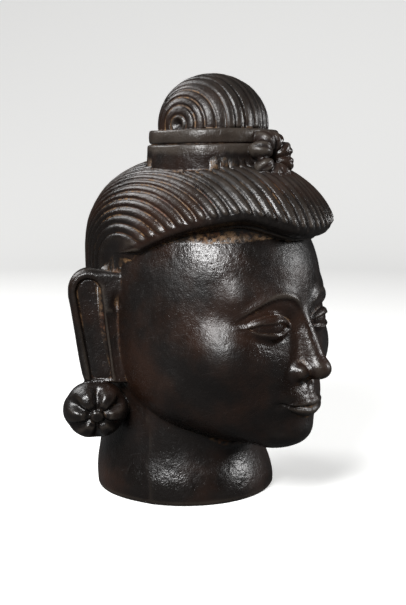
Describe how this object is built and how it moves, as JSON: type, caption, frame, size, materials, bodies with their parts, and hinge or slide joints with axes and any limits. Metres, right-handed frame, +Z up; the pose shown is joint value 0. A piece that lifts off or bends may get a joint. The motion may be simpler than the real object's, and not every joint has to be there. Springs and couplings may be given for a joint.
{
  "type": "carved stone buddha head",
  "caption": "Life-size carved stone head with combed hair, a banded topknot with a flower, long ears and round ear ornaments, cut flat below the neck.",
  "frame": {"origin": "centre of the neck's flat underside, where the head stands", "axes": "+Z up along the neck, the face looks toward -Y, +X is the head's own left"},
  "size_m": [0.2224, 0.2271, 0.3294],
  "materials": {
    "dark_stone": "polished by hand, with brown dust in the cuts"
  },
  "bodies": {
    "root": {"buddha_head": "dark_stone"}
  },
  "joints": []
}
